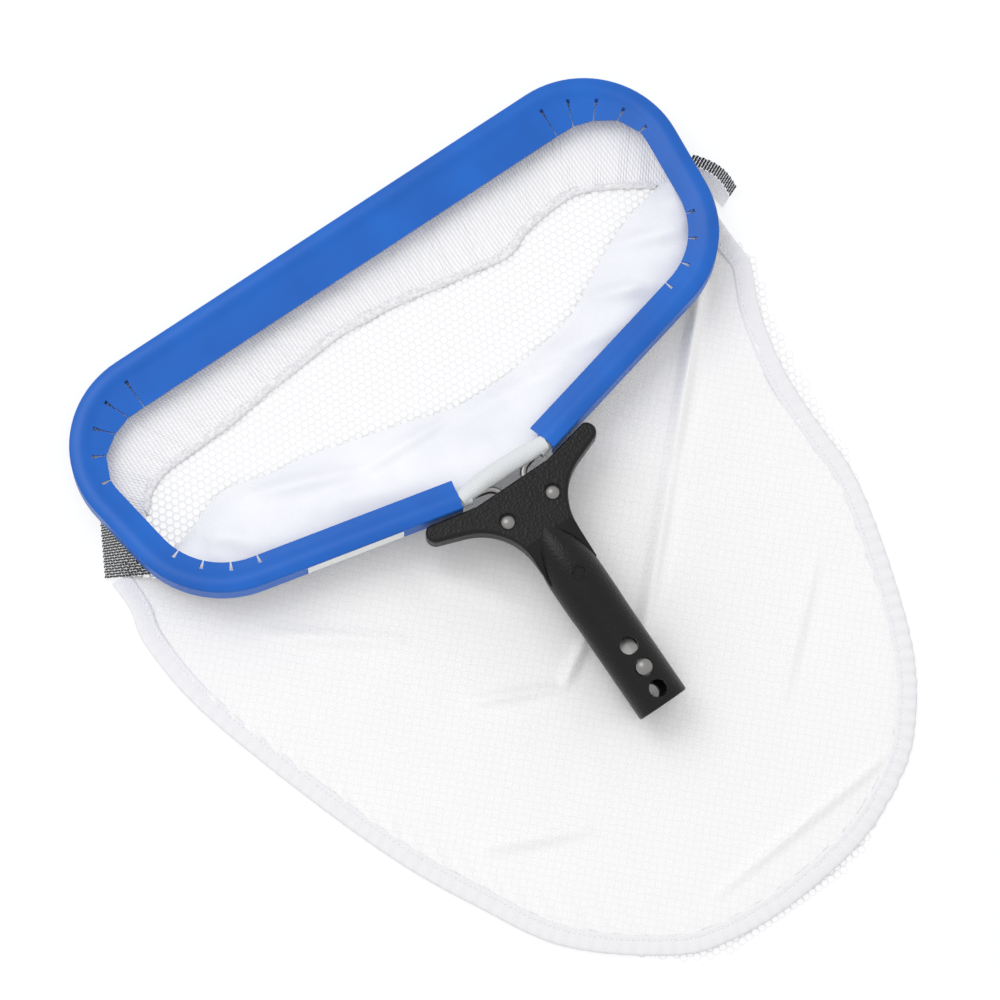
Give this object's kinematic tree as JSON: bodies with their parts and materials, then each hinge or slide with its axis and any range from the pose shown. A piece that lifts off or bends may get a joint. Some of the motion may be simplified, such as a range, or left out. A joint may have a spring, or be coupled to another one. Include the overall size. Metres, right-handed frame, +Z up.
{
  "type": "pool leaf skimmer net",
  "caption": "Deep-bag leaf skimmer net: a D-shaped wire mouth in a plastic scoop edge, a cloth and net bag, and a yoke with a pole spigot.",
  "frame": {"origin": "on the floor, under the middle of the net's bounding box", "axes": "+X along the leading edge, +Y from the handle to the leading edge, +Z up from the floor that the bag lies on"},
  "size_m": [0.4, 0.4556, 0.0402],
  "materials": {
    "black_nylon": "moulded glass-filled nylon, fine pebble grain",
    "stainless": "polished stainless",
    "blue_plastic": "extruded, soft sheen",
    "white_cloth": "fine woven polyester",
    "rib_knit": "fine rib knit",
    "coarse_net": "coarse knitted net",
    "hem_tape": "stitched woven tape",
    "woven_mesh": "black and white woven mesh",
    "white_film": "blank sticker"
  },
  "bodies": {
    "net": {"handle_yoke": "black_nylon", "frame_wire": "stainless", "scoop_edge": "blue_plastic", "yoke_rivets": "stainless", "clip_spring": "stainless", "wire_sleeve": "white_cloth", "front_collar": "rib_knit", "collar_seam": "rib_knit", "back_panel": "white_cloth", "bottom_net": "coarse_net", "upper_panel": "white_cloth", "hem_binding": "hem_tape", "left_gusset": "woven_mesh", "right_gusset": "woven_mesh", "blank_label": "white_film"},
    "upper_button": {"upper_button": "stainless"},
    "lower_button": {"lower_button": "stainless"}
  },
  "joints": [
    {"name": "upper_button_press", "type": "slide", "parent": "net", "child": "upper_button", "axis": [0, 0.0785, -0.9969], "range_m": [0, 0.0032], "stiffness_N_per_m": 1500, "springref_m": -0.002, "deforming": ["clip_spring"]},
    {"name": "lower_button_press", "type": "slide", "parent": "net", "child": "lower_button", "axis": [0, -0.0785, 0.9969], "range_m": [0, 0.0032], "stiffness_N_per_m": 1500, "springref_m": -0.002, "deforming": ["clip_spring"]}
  ]
}
